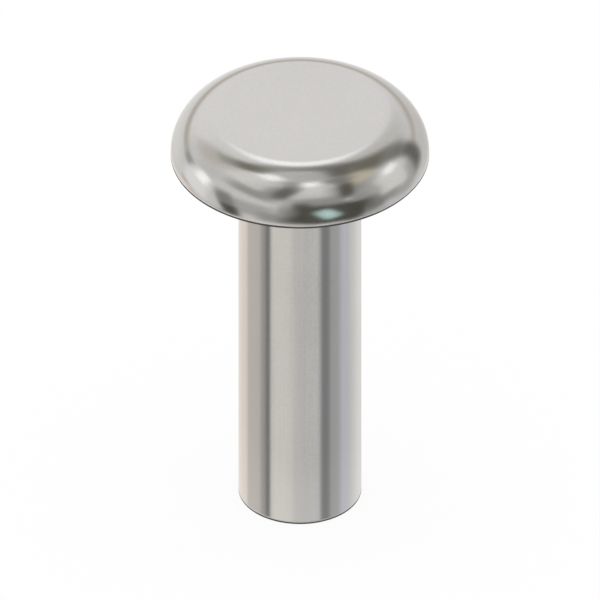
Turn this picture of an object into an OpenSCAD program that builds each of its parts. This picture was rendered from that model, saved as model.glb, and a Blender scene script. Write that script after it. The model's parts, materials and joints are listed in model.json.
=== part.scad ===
// Solid rivet with a flat-topped round head and a plain shank.
// It is one piece of steel wire: the shank is the wire itself, and the head is pressed
// from it cold, between a flat punch with a rounded rim and the face of the die.
// Millimetres. The axis is Z, with the head up, and the origin is the middle of the
// bearing face, the flat ring under the head that seats on the sheet.

/* [Shank] */
// Diameter of the shank
shank_d = 4.8; // [3:0.1:6.4]
// Length of the shank, from the bearing face to its end
shank_l = 16; // [6:0.5:40]
// Radius that breaks the edge of the shank's end
end_edge_r = 0.05; // [0.04:0.01:0.4]

/* [Head] */
// Diameter of the head at its rim
head_d = 10.1; // [8.5:0.1:14]
// Height of the head above the bearing face
head_h = 2; // [1.2:0.05:3]
// Radius of the shoulder that runs from the flat top down to the rim
shoulder_r = 1.87; // [0.5:0.01:2.8]
// Radius that breaks the edge between the rim and the bearing face
rim_edge_r = 0.05; // [0.02:0.01:0.3]
// Radius of the fillet between the bearing face and the shank
neck_fillet_r = 0.2; // [0.05:0.05:0.6]

/* [Hidden] */
$fn = 96;
shank_r = shank_d / 2;
head_r = head_d / 2;
// The shoulder ends where the rounding of the rim's lower edge begins, at the latest
shoulder = min(shoulder_r, head_h - rim_edge_r);
// How far a corner piece runs past the corner it rounds or fills
overlap = 0.5;
bright_steel = [0.80, 0.79, 0.77];

// What lies outside a rounding of radius r in a square corner.
// The corner is at the origin and points along +X and +Y.
module outside_of_rounding(r) {
  translate([-r, -r])
    difference() {
      square(r + overlap);
      circle(r);
    }
}

// Half of the section through the axis: the wire and the head as plain rectangles,
// the neck fillet added in the inner corner and the three outer corners rounded off
module half_section() {
  difference() {
    union() {
      square([head_r, head_h]);
      translate([0, -shank_l]) square([shank_r, shank_l]);
      translate([shank_r, 0]) mirror([1, 0]) outside_of_rounding(neck_fillet_r);
    }
    translate([head_r, head_h]) outside_of_rounding(shoulder);
    translate([head_r, 0]) mirror([0, 1]) outside_of_rounding(rim_edge_r);
    translate([shank_r, -shank_l]) mirror([0, 1]) outside_of_rounding(end_edge_r);
  }
}

module rivet() {
  color(bright_steel) rotate_extrude() half_section();
}

rivet();
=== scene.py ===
# %% [markdown]
# # A bright steel rivet
# The object is one solid rivet: a length of steel wire whose one end was pressed cold into a
# flat-topped head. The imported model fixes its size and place, so every size of the rivet below is
# either read from that frame or is a corner radius written in millimetres. Blender then adds what
# the eye sees: a finely meshed surface, a tumbled steel finish and a studio for the metal to mirror.

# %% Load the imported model
import json
import math
from collections import namedtuple

import bpy
import numpy as np
from mathutils import Matrix, Vector


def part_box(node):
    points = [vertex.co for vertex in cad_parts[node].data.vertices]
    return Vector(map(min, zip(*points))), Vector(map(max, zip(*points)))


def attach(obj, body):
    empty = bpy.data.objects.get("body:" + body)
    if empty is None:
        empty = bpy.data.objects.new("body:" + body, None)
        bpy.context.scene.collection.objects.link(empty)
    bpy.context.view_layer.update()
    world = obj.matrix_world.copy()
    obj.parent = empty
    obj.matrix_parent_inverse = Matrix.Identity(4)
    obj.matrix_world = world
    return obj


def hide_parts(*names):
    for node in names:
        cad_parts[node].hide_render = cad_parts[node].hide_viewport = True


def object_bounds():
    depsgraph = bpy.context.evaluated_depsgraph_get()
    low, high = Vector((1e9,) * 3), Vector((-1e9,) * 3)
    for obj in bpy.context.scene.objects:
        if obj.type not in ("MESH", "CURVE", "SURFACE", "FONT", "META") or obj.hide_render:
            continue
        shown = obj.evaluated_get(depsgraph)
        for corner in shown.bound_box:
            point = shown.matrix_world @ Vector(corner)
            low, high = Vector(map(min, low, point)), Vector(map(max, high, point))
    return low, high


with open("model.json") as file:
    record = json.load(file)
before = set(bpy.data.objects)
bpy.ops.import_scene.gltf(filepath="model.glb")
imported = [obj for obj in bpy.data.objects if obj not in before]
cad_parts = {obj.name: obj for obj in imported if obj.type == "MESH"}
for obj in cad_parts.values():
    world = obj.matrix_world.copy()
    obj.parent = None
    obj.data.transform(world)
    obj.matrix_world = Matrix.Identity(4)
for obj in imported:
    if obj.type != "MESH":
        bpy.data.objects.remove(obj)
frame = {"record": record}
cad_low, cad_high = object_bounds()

MM = 0.001
print("packed box in mm:", [round(side / MM, 3) for side in cad_high - cad_low])

# %% [markdown]
# ## The rivet's sizes
# The origin is the middle of the bearing face, the flat ring under the head. So the box of the
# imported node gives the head's radius and height and the shank's length at once, and the mount
# named shank gives the wire's radius. Only the corner radii are written here.

# %% Sizes, all in millimetres
low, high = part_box("rivet")
shank_mount = next(m for m in frame["record"]["mounts"] if m["name"] == "shank")
HEAD_R = high.x / MM
HEAD_H = high.z / MM
SHANK_L = -low.z / MM
SHANK_R = shank_mount["dims"]["r_mm"]
SHOULDER_R = 1.87
RIM_EDGE_R = 0.05
NECK_R = 0.2
END_EDGE_R = 0.05
print(f"head {2 * HEAD_R:.2f} x {HEAD_H:.2f}, shank {2 * SHANK_R:.2f} x {SHANK_L:.2f}")

# %% [markdown]
# ## The camera
# The rivet is seen from above at the isometric angle, with no perspective: the shank's two sides
# stay parallel. A long lens from far away would come close to that. An orthographic camera gives it
# exactly, and its scale is the width that the square picture takes in. It looks at a point a little
# above the middle of the rivet's box.

# %% Camera, with its lengths in millimetres
VIEW_ELEVATION = math.asin(1 / math.sqrt(3))
PICTURE_WIDTH = 23.42
PICTURE_PIXELS = 600
PIXEL = PICTURE_WIDTH / PICTURE_PIXELS
AIM_ABOVE_MIDDLE = 0.04
CAMERA_DISTANCE = 200

camera_data = bpy.data.cameras.new("isometric_camera")
camera_data.type = "ORTHO"
camera_data.ortho_scale = PICTURE_WIDTH * MM
camera = bpy.data.objects.new("isometric_camera", camera_data)
bpy.context.scene.collection.objects.link(camera)
towards_camera = Vector((0, -math.cos(VIEW_ELEVATION), math.sin(VIEW_ELEVATION)))
aim = (cad_low + cad_high) / 2 + Vector((0, 0, AIM_ABOVE_MIDDLE * MM))
camera.location = aim + towards_camera * CAMERA_DISTANCE * MM
camera.rotation_euler = (-towards_camera).to_track_quat("-Z", "Y").to_euler()
bpy.context.scene.camera = camera
print("camera at", [round(c / MM, 1) for c in camera.location], f"mm, a pixel is {PIXEL:.3f} mm")

# %% [markdown]
# ## The outline of half the rivet
# A rivet is round about its axis, so its whole form is in one outline: from the middle of the
# top, over the shoulder and the rim, in under the head, down the shank and in to the middle of
# the end. A Bezier curve could be drawn along it. Straight lines and arcs that run smoothly into
# each other are what the dies have, and they take their sizes from the values above. Each point
# carries the outline's own normal there, because bright metal shows the least error in a normal.

# %% Lines and arcs
def line(start, end, steps):
    """Evenly spaced points from start towards end, the last one left out. The normal is the
    direction of travel turned a quarter turn to the left, which is outwards here."""
    start, end = np.array(start, float), np.array(end, float)
    points = start + np.linspace(0, 1, steps, endpoint=False)[:, None] * (end - start)
    along = (end - start) / np.linalg.norm(end - start)
    normals = np.tile([-along[1], along[0]], (steps, 1))
    return points, normals


def arc(centre, radius, from_deg, to_deg, steps, outwards=1):
    """Points on a circle, the last one left out: centre plus radius times (cos, sin) of an
    angle. The normal is that (cos, sin), or its opposite on a hollow arc."""
    angle = np.radians(np.linspace(from_deg, to_deg, steps, endpoint=False))[:, None]
    direction = np.hstack([np.cos(angle), np.sin(angle)])
    return np.array(centre) + radius * direction, outwards * direction


print("a quarter arc in three steps:", arc((0, 0), 1, 90, 0, 3)[0].round(2).tolist())

# %% The outline, as (radius, height) in millimetres
# The last number of each stretch is its steps: many where the surface turns, few where it is flat
stretches = {
    "top": line((0, HEAD_H), (HEAD_R - SHOULDER_R, HEAD_H), 6),
    "shoulder": arc((HEAD_R - SHOULDER_R, HEAD_H - SHOULDER_R), SHOULDER_R, 90, 0, 64),
    "rim_land": line((HEAD_R, HEAD_H - SHOULDER_R), (HEAD_R, RIM_EDGE_R), 2),
    "rim_edge": arc((HEAD_R - RIM_EDGE_R, RIM_EDGE_R), RIM_EDGE_R, 0, -90, 16),
    "bearing_face": line((HEAD_R - RIM_EDGE_R, 0), (SHANK_R + NECK_R, 0), 8),
    "neck": arc((SHANK_R + NECK_R, -NECK_R), NECK_R, 90, 180, 12, outwards=-1),
    "wall": line((SHANK_R, -NECK_R), (SHANK_R, END_EDGE_R - SHANK_L), 24),
    "end_edge": arc((SHANK_R - END_EDGE_R, END_EDGE_R - SHANK_L), END_EDGE_R, 0, -90, 16),
    "end_face": line((SHANK_R - END_EDGE_R, -SHANK_L), (0, -SHANK_L), 6),
    "end_middle": (np.array([[0, -SHANK_L]]), np.array([[0, -1.0]])),
}
outline = np.vstack([points for points, _ in stretches.values()])
outline_normals = np.vstack([normals for _, normals in stretches.values()])
travel = np.r_[0, np.cumsum(np.linalg.norm(np.diff(outline, axis=0), axis=1))]
stretch_of_point = np.repeat(list(stretches), [len(points) for points, _ in stretches.values()])
print(f"outline of {len(outline)} points, {travel[-1]:.2f} mm from top to end")

# %% [markdown]
# ## The surface
# The outline is carried once round the axis. A Screw modifier could do it, but worked out as
# arrays the surface also gets its exact normals and its two closed poles.

# %% Turn the outline
AROUND = 288


def turned(points, normals, around):
    """Surface of revolution: the point at outline place i and angle a is (r cos a, r sin a, z).
    The first and last outline points lie on the axis and become single poles."""
    angle = np.linspace(0, 2 * np.pi, around, endpoint=False)
    spin = np.stack([np.cos(angle), np.sin(angle)], -1)

    def carried(pairs):
        """Every (radius, height) pair becomes a ring, but the first and the last become poles."""
        rings = np.empty((len(pairs) - 2, around, 3))
        rings[..., :2] = pairs[1:-1, None, :1] * spin
        rings[..., 2] = pairs[1:-1, 1:]
        ends = np.array([[0, 0, pairs[0, 1]], [0, 0, pairs[-1, 1]]])
        return np.vstack([rings.reshape(-1, 3), ends])

    ring_count = len(points) - 2
    here = np.arange(around)
    after = (here + 1) % around
    row = np.arange(ring_count - 1)[:, None] * around
    quads = np.stack([row + here, row + around + here, row + around + after, row + after], -1)
    top, end = ring_count * around, ring_count * around + 1
    last = (ring_count - 1) * around
    top_fan = np.stack([np.full(around, top), here, after], -1)
    end_fan = np.stack([np.full(around, end), last + after, last + here], -1)
    faces = quads.reshape(-1, 4).tolist() + top_fan.tolist() + end_fan.tolist()
    return carried(points), carried(normals), faces


places, facing, faces = turned(outline, outline_normals, AROUND)
rivet_mesh = bpy.data.meshes.new("steel_rivet")
rivet_mesh.from_pydata(places * MM, [], faces)
rivet_mesh.shade_smooth()
rivet_mesh.normals_split_custom_set_from_vertices(facing)
rivet = bpy.data.objects.new("steel_rivet", rivet_mesh)
bpy.context.scene.collection.objects.link(rivet)
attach(rivet, "root")
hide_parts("rivet")
print(f"steel_rivet: {len(places)} points, {len(faces)} faces")

# %% [markdown]
# ## Where the edges are rubbed and where light and shade are painted
# Tumbling works on edges first: the two outer roundings, at the rim and at the shank's end. A painted
# highlight and a painted shade line follow them too. The finish needs to know how far each point is
# from them. A shader could guess it from the mesh's curvature, but the outline knows it exactly, so it
# is kept on the mesh as an attribute. The marks at the shank's end are a little narrower than those at
# the rim, so distances count for more there.

# %% Distance beyond the two outer roundings, along the surface
END_MARK_SHARE = 0.8


def distance_beyond(name):
    """How far each outline point is along the outline from one stretch, 0 on the stretch itself."""
    inside = np.flatnonzero(stretch_of_point == name)
    start, end = travel[inside[0]], travel[inside[-1] + 1]
    return np.maximum(np.maximum(start - travel, travel - end), 0)


from_edge = np.minimum(distance_beyond("rim_edge"), distance_beyond("end_edge") / END_MARK_SHARE)
per_point = np.r_[np.repeat(from_edge[1:-1], AROUND), from_edge[[0, -1]]]
edge_attribute = rivet_mesh.attributes.new("from_edge_mm", "FLOAT", "POINT")
edge_attribute.data.foreach_set("value", per_point.astype(np.float32))
print(f"farthest point from an edge: {from_edge.max():.2f} mm")

# %% [markdown]
# ## Colours and nodes
# Colours are written as sRGB hex, as a paint chart gives them, and turned to the linear values
# that Blender calculates with. One small function adds any node, sets it and links it.

# %% Colour and node helpers
# A Mix node has sockets named A and B for each kind of value, so those for colours go by number
COLOUR_A = 6
COLOUR_B = 7
MIXED_COLOUR = 2


def linear(hex_colour):
    """sRGB hex to linear RGBA: each channel over 255, then the sRGB curve undone."""
    srgb = np.array([int(hex_colour[i:i + 2], 16) for i in (1, 3, 5)]) / 255
    rgb = np.where(srgb <= 0.04045, srgb / 12.92, ((srgb + 0.055) / 1.055) ** 2.4)
    return (*rgb.tolist(), 1.0)


def add_node(tree, kind, inputs=None, **settings):
    """Adds one node. settings are its own attributes; inputs maps a socket's name or number to
    a value to set or to another node's output to link."""
    node = tree.nodes.new(kind)
    for name, value in settings.items():
        setattr(node, name, value)
    for key, value in (inputs or {}).items():
        if isinstance(value, bpy.types.NodeSocket):
            tree.links.new(value, node.inputs[key])
        else:
            node.inputs[key].default_value = value
    return node


print(f"middle grey #808080 is {linear('#808080')[0]:.3f} in linear light")

# %% [markdown]
# ## The marks of making
# The rivet is stainless wire, headed cold and then tumbled bright. The wire keeps faint lines from
# its drawing die, all along the shank. The tumbling leaves a fine grain everywhere and a soft
# cloudiness over the large faces. A painted texture could show them, but it would need the rivet
# unwrapped. Noises on Object coordinates don't, and they stay on the rivet from every side.

# %% Lines, grain and clouds
# Real drawing lines and tumbling grain are a few hundredths of a millimetre wide or less, and a
# pixel of the picture is 0.04 mm. So both are drawn a few times as coarse, to show at all.
DRAW_LINE_WIDTH = 0.07
DRAW_LINE_LENGTH = 6
GRAIN = 0.12
CLOUD = 3
NOISE_DETAIL = 2


def marks_of_making(tree, place):
    """Three noises, each about 0.5 on average: lines drawn out along the axis, grain and clouds.
    Each is a noise of unit size, at the place divided by the mark's size. Gives the sum of the
    lines and the grain, which are cut into the surface, and the clouds."""
    noises = []
    for size in ([DRAW_LINE_WIDTH, DRAW_LINE_WIDTH, DRAW_LINE_LENGTH], [GRAIN] * 3, [CLOUD] * 3):
        scaled = add_node(
            tree, "ShaderNodeMapping", {"Vector": place, "Scale": [1 / (side * MM) for side in size]}
        )
        noise = add_node(
            tree,
            "ShaderNodeTexNoise",
            {"Vector": scaled.outputs[0], "Scale": 1.0, "Detail": NOISE_DETAIL},
        )
        noises.append(noise.outputs["Fac"])
    lines, grain, cloud = noises
    marks = add_node(tree, "ShaderNodeMath", {0: lines, 1: grain}, operation="ADD")
    return marks.outputs[0], cloud


print(f"lines {DRAW_LINE_WIDTH} mm wide, grain {GRAIN} mm, clouds {CLOUD} mm, pixel {PIXEL:.3f} mm")

# %% [markdown]
# ## Wear, a painted highlight and painted shade along the edges
# Where rivets knock against each other, the band beside each edge is scuffed to a blunter shine, and
# it is painted paler as a painted highlight. The rounding itself and a hair's breadth beyond it are
# painted with a thin dark line of painted shade, matt and without shine. A mask painted by hand could
# place both. Soft steps of the distance that the mesh carries follow the edges exactly, and the clouds
# make them a little uneven.

# %% The scuffed band with its painted highlight, and the painted shade line
# Reaches are in millimetres. Most of the clouds' noise lies between their low and high values,
# and the distance is stretched by a factor that goes from low to high with it.
EDGE_SHADE_REACH = 0.055
EDGE_SHADE_FADE = 0.01
SCUFF_HIGHLIGHT_REACH = 0.14
SCUFF_HIGHLIGHT_FULL = 1.5 * EDGE_SHADE_REACH
STRETCH_LOW = 0.8
STRETCH_HIGH = 1.2
CLOUD_LOW = 0.3
CLOUD_HIGH = 0.7


def edge_wear_and_painted_light(tree, cloud):
    """How scuffed and painted with highlight a place is, and how much painted shade it has, each 0 to
    1: smooth steps of the distance to the nearest edge, which is first multiplied by a factor that
    follows the clouds."""
    from_edge_mm = add_node(tree, "ShaderNodeAttribute", attribute_name="from_edge_mm")
    stretch = add_node(
        tree,
        "ShaderNodeMapRange",
        {
            "Value": cloud,
            "From Min": CLOUD_LOW,
            "From Max": CLOUD_HIGH,
            "To Min": STRETCH_LOW,
            "To Max": STRETCH_HIGH,
        },
    )
    distance = add_node(
        tree,
        "ShaderNodeMath",
        {0: from_edge_mm.outputs["Fac"], 1: stretch.outputs[0]},
        operation="MULTIPLY",
    )
    scuff_and_highlight = add_node(
        tree,
        "ShaderNodeMapRange",
        {"Value": distance.outputs[0], "From Min": SCUFF_HIGHLIGHT_REACH, "From Max": SCUFF_HIGHLIGHT_FULL},
        interpolation_type="SMOOTHSTEP",
    )
    edge_shade = add_node(
        tree,
        "ShaderNodeMapRange",
        {
            "Value": distance.outputs[0],
            "From Min": EDGE_SHADE_REACH + EDGE_SHADE_FADE,
            "From Max": EDGE_SHADE_REACH - EDGE_SHADE_FADE,
        },
        interpolation_type="SMOOTHSTEP",
    )
    return scuff_and_highlight.outputs[0], edge_shade.outputs[0]


print(f"scale to {EDGE_SHADE_REACH} mm beyond an edge, scuffs to {SCUFF_HIGHLIGHT_REACH} mm")

# %% [markdown]
# ## The finish: tumbled stainless steel
# To the eye, tumbled steel is a light grey mirror, blurred a little and not quite evenly. The last few
# millimetres of the shank are painted a little brighter, as painted light from the floor below. A
# metal shader with one colour and one roughness would look like plastic foil, so the marks, the clouds
# and the wear each move its colour, roughness and bump by a small amount, and painted light and shade
# move its colour near the edges and the end.

# %% Colours and roughness of the steel
BRIGHT_STEEL = "#D5D4D2"
DULL_STEEL = "#CFCECC"
# painted light from the floor: the brighter colour towards the shank's end
FLOOR_LIT_END = "#DCDBD9"
# painted highlight: the paler colour of the scuffed band beside each edge
SCUFF_HIGHLIGHT_STEEL = "#F2F0ED"
# painted shade: the dark line along the edges
PAINTED_EDGE_SHADE = "#484644"
SMOOTHEST = 0.13
ROUGHEST = 0.19
SCUFF_ROUGHNESS = 0.45
print(f"steel from {BRIGHT_STEEL} to {DULL_STEEL}, roughness from {SMOOTHEST} to {ROUGHEST}")

# %% How dull a place is, and how near the shank's end
# The marks and the clouds add up to about 1 to 2. The painted floor light at the end has a length in
# millimetres.
DULL_FROM = 1.0
DULL_TO = 2.0
END_LIGHT_LENGTH = 4


def dullness_and_end(tree, place, marks, cloud):
    """Two straight ramps from 0 to 1: one along the sum of the marks and the clouds, and one down
    the last stretch of the shank, along the height."""
    unevenness = add_node(tree, "ShaderNodeMath", {0: marks, 1: cloud}, operation="ADD")
    dull = add_node(
        tree,
        "ShaderNodeMapRange",
        {"Value": unevenness.outputs[0], "From Min": DULL_FROM, "From Max": DULL_TO},
    )
    height = add_node(tree, "ShaderNodeSeparateXYZ", {0: place}).outputs["Z"]
    # painted floor light, rising towards the shank's end
    painted_floor_light = add_node(
        tree,
        "ShaderNodeMapRange",
        {"Value": height, "From Min": (END_LIGHT_LENGTH - SHANK_L) * MM, "From Max": -SHANK_L * MM},
    )
    return dull.outputs[0], painted_floor_light.outputs[0]


# the brightening of the end is painted light from the floor
print(f"polish of the end: {END_LIGHT_LENGTH} mm of the shank's {SHANK_L:.2f} mm")

# %% Tumbled steel, with the depth of its marks in millimetres
MARK_DEPTH = 0.0002


def tumbled_steel():
    """A metal with the default IOR. How dull a place is sets the tone and the roughness, and the marks
    make the bump. The colours are laid over each other in turn, with painted light and shade among
    them. The painted shade line comes last: it is matt, no metal and with no shine of its own."""
    material = bpy.data.materials.new("tumbled_stainless_steel")
    material.use_nodes = True
    tree = material.node_tree
    tree.nodes.clear()
    place = add_node(tree, "ShaderNodeTexCoord").outputs["Object"]
    marks, cloud = marks_of_making(tree, place)
    scuff_and_highlight, edge_shade = edge_wear_and_painted_light(tree, cloud)
    dull, painted_floor_light = dullness_and_end(tree, place, marks, cloud)
    colour = linear(BRIGHT_STEEL)
    layers = [
        (dull, DULL_STEEL),
        # painted floor light towards the shank's end
        (painted_floor_light, FLOOR_LIT_END),
        # painted highlight in the scuffed band
        (scuff_and_highlight, SCUFF_HIGHLIGHT_STEEL),
        # painted shade along the edges
        (edge_shade, PAINTED_EDGE_SHADE),
    ]
    for share, hex_colour in layers:
        layer = add_node(
            tree,
            "ShaderNodeMix",
            {"Factor": share, COLOUR_A: colour, COLOUR_B: linear(hex_colour)},
            data_type="RGBA",
        )
        colour = layer.outputs[MIXED_COLOUR]
    tumbled = add_node(
        tree, "ShaderNodeMapRange", {"Value": dull, "To Min": SMOOTHEST, "To Max": ROUGHEST}
    )
    roughness = add_node(
        tree, "ShaderNodeMix", {"Factor": scuff_and_highlight, "A": tumbled.outputs[0], "B": SCUFF_ROUGHNESS}
    )
    # no metal where the painted shade line lies, so it has no shine
    metal_share = add_node(tree, "ShaderNodeMath", {0: 1.0, 1: edge_shade}, operation="SUBTRACT")
    bump = add_node(
        tree, "ShaderNodeBump", {"Height": marks, "Strength": 1.0, "Distance": MARK_DEPTH * MM}
    )
    steel = add_node(
        tree,
        "ShaderNodeBsdfPrincipled",
        {
            "Base Color": colour,
            "Metallic": metal_share.outputs[0],
            "Roughness": roughness.outputs[0],
            "Specular IOR Level": 0.0,
            "Normal": bump.outputs[0],
        },
    )
    add_node(tree, "ShaderNodeOutputMaterial", {"Surface": steel.outputs[0]})
    return material


steel = tumbled_steel()
rivet_mesh.materials.append(steel)
print("finish:", steel.name, "of", len(steel.node_tree.nodes), "nodes")

# %% [markdown]
# ## The studio
# A mirror has no look of its own: it shows the room. So the rivet stands in a pale room with
# white cards, soft boxes and dark flags hung round it, and the camera sees plain white. Real
# planes and lamps could stand there, but each would light the floor and the other cards too.
# Painted on the world by direction, they are mirrored in the metal and light nothing else.

# %% What the cards are made of: a colour, and its strength
PALETTE = {
    "soft_box": ("#FFFFFF", 1.4),
    "white_card": ("#FFFFFF", 1.0),
    "back_wall": ("#FCFAFA", 1.0),
    "blush_wall": ("#FBF2EA", 1.0),
    "bright_wall": ("#F4F3F0", 1.0),
    "cream_wall": ("#EFECE6", 1.0),
    "pale_wall": ("#E8E7E6", 1.0),
    "stone_wall": ("#DEDCD9", 1.0),
    "silver_wall": ("#DEDEDF", 1.0),
    "linen_wall": ("#D5D0C9", 1.0),
    "ash_wall": ("#CECECC", 1.0),
    "sand_band": ("#CAC3B9", 1.0),
    "grey_card": ("#BFBFBD", 1.0),
    "pewter_card": ("#B4B4B5", 1.0),
    "mid_card": ("#AAAAA7", 1.0),
    "dusk_card": ("#8E8E8B", 1.0),
    "steel_flag": ("#8D8D8F", 1.0),
    "iron_flag": ("#7E7E7E", 1.0),
    "olive_card": ("#7C786B", 1.0),
    "slate_flag": ("#6C6B67", 1.0),
    "dark_flag": ("#56534C", 1.0),
    "straw_card": ("#D8D0BA", 1.0),
    "lilac_card": ("#D3D3DC", 1.0),
    "window": ("#CDEBE6", 1.1),
}
print(f"{len(PALETTE)} kinds of card")

# %% Where they hang
# Azimuth 0 is towards the camera and grows to its right, and elevation grows upwards. Those, the
# half sizes and the turn are in degrees. A positive turn leans a card's top towards growing azimuth.
# The edge is how soft the rim is, up to 1. A later card hangs in front of an earlier one.
Card = namedtuple("Card", "what azimuth elevation half_width half_height turn edge")
CARDS = [
    # ceiling
    Card("ash_wall", 30, 82, 20, 18, 0, 0.8),
    Card("bright_wall", -80, 57, 14, 12, 0, 0.9),
    Card("soft_box", -72, 74, 8, 6, 0, 0.9),
    Card("bright_wall", 14, 54, 8, 8, 0, 1.0),
    Card("soft_box", 18, 68, 6, 6, 0, 0.9),
    # behind the rivet
    Card("back_wall", -165, 27, 30, 20, 0, 0.9),
    Card("bright_wall", -150, 56, 10, 8, 0, 0.9),
    Card("soft_box", 180, 52, 9, 7, 0, 0.9),
    Card("stone_wall", 146, 44, 13, 16, 0, 1.0),
    Card("linen_wall", -116, 44, 14, 16, 0, 1.0),
    Card("stone_wall", -95, 24, 12, 14, 0, 1.0),
    Card("bright_wall", -150, -10, 24, 14, 0, 0.9),
    Card("back_wall", -178, -25, 13, 16, 0, 0.9),
    Card("stone_wall", 148, -18, 14, 18, 0, 0.9),
    Card("sand_band", 160, 9, 32, 5, 0, 0.9),
    Card("sand_band", -148, 9, 36, 5, 3, 0.9),
    Card("mid_card", -111, 5, 10, 6, 0, 0.9),
    Card("sand_band", -114, -28, 7, 5, 0, 0.9),
    # darker ring round the back of the ceiling
    Card("mid_card", -158, 70, 15, 7, 0, 0.9),
    Card("dusk_card", 148, 68, 11, 7, 0, 0.9),
    Card("slate_flag", 112, 72, 14, 6, 0, 0.9),
    Card("mid_card", -119, 56, 7, 8, 0, 1.0),
    Card("olive_card", -120, 67, 9, 8, 0, 1.0),
    Card("olive_card", 114, 55, 15, 14, 0, 0.9),
    # upper front
    Card("mid_card", -47, 32, 22, 8, 12, 1.0),
    Card("mid_card", -26, 43, 10, 15, 20, 1.0),
    Card("mid_card", -13, 66, 5, 9, 0, 0.8),
    Card("slate_flag", -16, 46, 7, 16, 15, 0.9),
    Card("mid_card", 20, 24, 28, 10, 5, 0.9),
    # right side
    Card("grey_card", 66, 24, 15, 24, 0, 0.8),
    Card("mid_card", 48, 35, 14, 16, 17, 1.0),
    Card("straw_card", 75, 51, 10, 10, 0, 0.9),
    Card("dusk_card", 60, 63, 8, 8, 0, 0.9),
    Card("dark_flag", 48, 40, 6, 17, 17, 0.9),
    Card("bright_wall", 89, 12, 15, 21, 0, 0.6),
    Card("soft_box", 95, 28, 7, 6, 0, 0.9),
    Card("grey_card", 99, -20, 16, 8, 8, 1.0),
    Card("mid_card", 80, -13, 10, 7, 10, 1.0),
    Card("grey_card", 112, -4, 9, 14, 0, 0.9),
    Card("dusk_card", 120, 37, 11, 10, 0, 0.9),
    Card("slate_flag", 121, 7, 8, 24, -3, 0.9),
    # left side
    Card("white_card", -98, -8, 14, 20, 18, 0.6),
    Card("soft_box", -92, 6, 7, 9, 15, 0.8),
    # front, level with the rivet and below
    Card("grey_card", -43, -6, 23, 14, 0, 0.8),
    Card("mid_card", -22, -18, 14, 11, 0, 0.9),
    Card("mid_card", -12, -4, 7, 21, 5, 0.9),
    Card("dusk_card", -8, -22, 10, 8, 0, 0.9),
    Card("dusk_card", -65, -9, 9, 19, -15, 0.7),
    Card("dark_flag", -62, -24, 8, 10, 0, 0.8),
    Card("dusk_card", 66, -12, 8, 17, -17, 0.9),
    Card("slate_flag", 1, 15, 7, 9, 0, 0.9),
    Card("dark_flag", 26, -9.5, 34, 24.5, 7, 0.4),
    Card("mid_card", 52, 13, 8, 6, 9, 0.9),
    Card("lilac_card", 43, 18, 3, 3, 0, 0.8),
    Card("window", 23, -7.5, 7.5, 12, -30, 0.9),
    # near the floor
    Card("blush_wall", -150, -40, 34, 8, 0, 0.3),
    Card("bright_wall", 142, -40, 12, 8, 0, 0.9),
    Card("linen_wall", -98, -40, 16, 8, 0, 0.4),
    Card("mid_card", -73, -40, 6, 8, 0, 0.9),
    Card("iron_flag", -63, -40, 4, 8, 0, 0.8),
    Card("cream_wall", -34, -40, 18, 8, 0, 0.4),
    Card("stone_wall", 14, -40, 22, 8, 0, 0.6),
    Card("silver_wall", 26, -40, 9, 8, 0, 0.9),
    Card("lilac_card", 87, -40, 18, 8, 0, 0.9),
    Card("pewter_card", 65, -40, 14, 8, 0, 0.9),
    Card("steel_flag", 49, -40, 7.5, 9, 0, 0.9),
]
print(f"{len(CARDS)} cards")

# %% [markdown]
# ## Painting a card
# To the world's nodes every place is a direction. A picture wrapped round the room could hold the
# cards, but a picture has pixels and would be a second file. A few nodes for each card do as well:
# they turn the direction to the card's own axes, measure how far it is from the card's middle, and
# mix the card's colour in there. The rims are soft, as a card's light falls off towards its rim.

# %% Which way a card hangs
# The front is the level direction from the rivet to the camera's side
FRONT = Vector((0, -1, 0))


def card_axes(card):
    """A card hung level at the front is turned in its own plane, then raised by its elevation,
    then swung round the rivet by its azimuth. Gives that as one rotation."""
    azimuth, elevation, turn = (math.radians(a) for a in (card.azimuth, card.elevation, card.turn))
    return (
        Matrix.Rotation(azimuth, 3, "Z")
        @ Matrix.Rotation(-elevation, 3, "X")
        @ Matrix.Rotation(turn, 3, "Y")
    )


first_place = card_axes(CARDS[0]) @ FRONT
print("the first card hangs towards", [round(c, 2) for c in first_place])


# %% Paint one card
def paint_card(tree, direction, behind, card):
    """Covers the colour behind with one card. The direction's offset from the card's middle is
    turned to the card's own axes and divided by its half sizes. Each part is then squared, and
    the length of that grows from 0 in the middle to 1 on a rounded rectangle, the card's rim."""
    axes = card_axes(card)
    half_sizes = [math.sin(math.radians(a)) for a in (card.half_width, card.half_height)]
    local = add_node(
        tree,
        "ShaderNodeMapping",
        {
            "Vector": direction,
            "Location": axes @ FRONT,
            "Rotation": axes.to_euler("XYZ"),
            "Scale": (half_sizes[0], 1, half_sizes[1]),
        },
        vector_type="TEXTURE",
    )
    squared = add_node(
        tree, "ShaderNodeVectorMath", {0: local.outputs[0], 1: local.outputs[0]}, operation="MULTIPLY"
    )
    reach = add_node(tree, "ShaderNodeVectorMath", {0: squared.outputs[0]}, operation="LENGTH")
    mask = add_node(
        tree,
        "ShaderNodeMapRange",
        {
            "Value": reach.outputs["Value"],
            "From Min": 1 + card.edge,
            "From Max": 1 - card.edge,
        },
        interpolation_type="SMOOTHSTEP",
    )
    hex_colour, strength = PALETTE[card.what]
    colour = [strength * c for c in linear(hex_colour)]
    covered = add_node(
        tree,
        "ShaderNodeMix",
        {"Factor": mask.outputs[0], COLOUR_A: behind, COLOUR_B: colour},
        data_type="RGBA",
    )
    return covered.outputs[MIXED_COLOUR]


edges = [card.edge for card in CARDS]
print(f"rims: the hardest is {min(edges)}, the softest {max(edges)}")

# %% [markdown]
# ## The world
# In a real studio the cards hang outside the picture, and they light the table as well. Here the
# Light Path node tells rays apart: those from a shiny surface see the cards, and all others see
# plain white. Lamps could light the floor too, but white of strength 1 needs no balancing: each
# colour is seen about as it is written.

# %% World
WHITE = "#FFFFFF"


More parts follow.
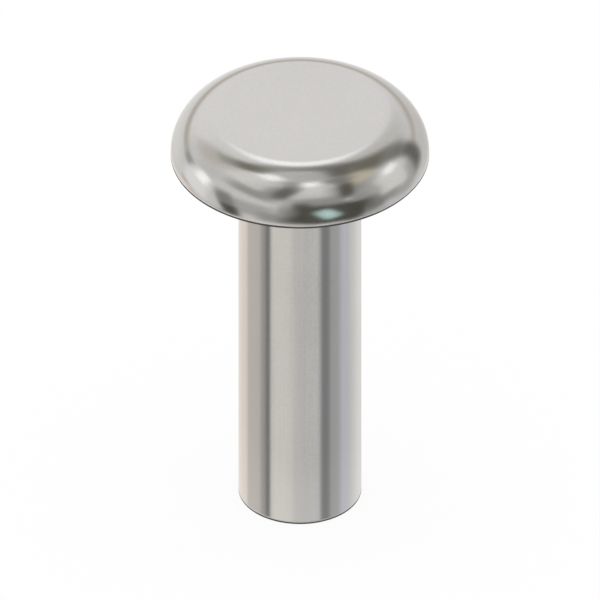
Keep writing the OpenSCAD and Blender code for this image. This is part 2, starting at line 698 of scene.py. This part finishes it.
def studio_world():
    """Glossy rays, which bring what the metal mirrors, see the painted room. All other rays see
    plain white. The world isn't sampled as a lamp, because then the metal would be lit by white."""
    world = bpy.data.worlds.new("card_studio")
    world.use_nodes = True
    world.cycles.sampling_method = "NONE"
    tree = world.node_tree
    tree.nodes.clear()
    direction = add_node(tree, "ShaderNodeTexCoord").outputs["Generated"]
    colour = linear(PALETTE["pale_wall"][0])
    for card in CARDS:
        colour = paint_card(tree, direction, colour, card)
    room = add_node(tree, "ShaderNodeBackground", {"Color": colour, "Strength": 1.0})
    white = add_node(tree, "ShaderNodeBackground", {"Color": linear(WHITE), "Strength": 1.0})
    ray = add_node(tree, "ShaderNodeLightPath")
    seen = add_node(
        tree,
        "ShaderNodeMixShader",
        {0: ray.outputs["Is Glossy Ray"], 1: white.outputs[0], 2: room.outputs[0]},
    )
    add_node(tree, "ShaderNodeOutputWorld", {"Surface": seen.outputs[0]})
    return world


bpy.context.scene.world = studio_world()
bpy.context.scene.view_settings.view_transform = "Standard"
print("studio:", bpy.context.scene.world.name)

# %% [markdown]
# ## The floor
# The rivet stands on the end of its shank on a sheet of white paper. Lit paper alone would be grey
# round the shank, and glowing paper alone would have no shadow. So most of its white is its own
# and a small part is the room's light, which keeps a faint contact shadow. The metal mirrors the
# cards near the floor in place of the paper.

# %% Floor, with half its width in millimetres and the share of its white that can be in shadow
FLOOR_HALF = 300
SHADOW_SHARE = 0.1


def white_paper():
    """Plain white, mixed from a share that the room lights and a rest that glows by itself."""
    material = bpy.data.materials.new("white_paper")
    material.use_nodes = True
    tree = material.node_tree
    tree.nodes.clear()
    glow = add_node(tree, "ShaderNodeEmission", {"Color": linear(WHITE), "Strength": 1.0})
    lit = add_node(tree, "ShaderNodeBsdfDiffuse", {"Color": linear(WHITE)})
    sheet = add_node(
        tree,
        "ShaderNodeMixShader",
        {0: SHADOW_SHARE, 1: glow.outputs[0], 2: lit.outputs[0]},
    )
    add_node(tree, "ShaderNodeOutputMaterial", {"Surface": sheet.outputs[0]})
    return material


corners = np.array([[-1, -1], [1, -1], [1, 1], [-1, 1]]) * FLOOR_HALF
floor_mesh = bpy.data.meshes.new("floor")
floor_mesh.from_pydata(np.c_[corners, np.full(4, -SHANK_L)] * MM, [], [[0, 1, 2, 3]])
floor_mesh.materials.append(white_paper())
floor = bpy.data.objects.new("floor", floor_mesh)
floor.visible_glossy = False
bpy.context.scene.collection.objects.link(floor)
print(f"floor at {-SHANK_L:.2f} mm")
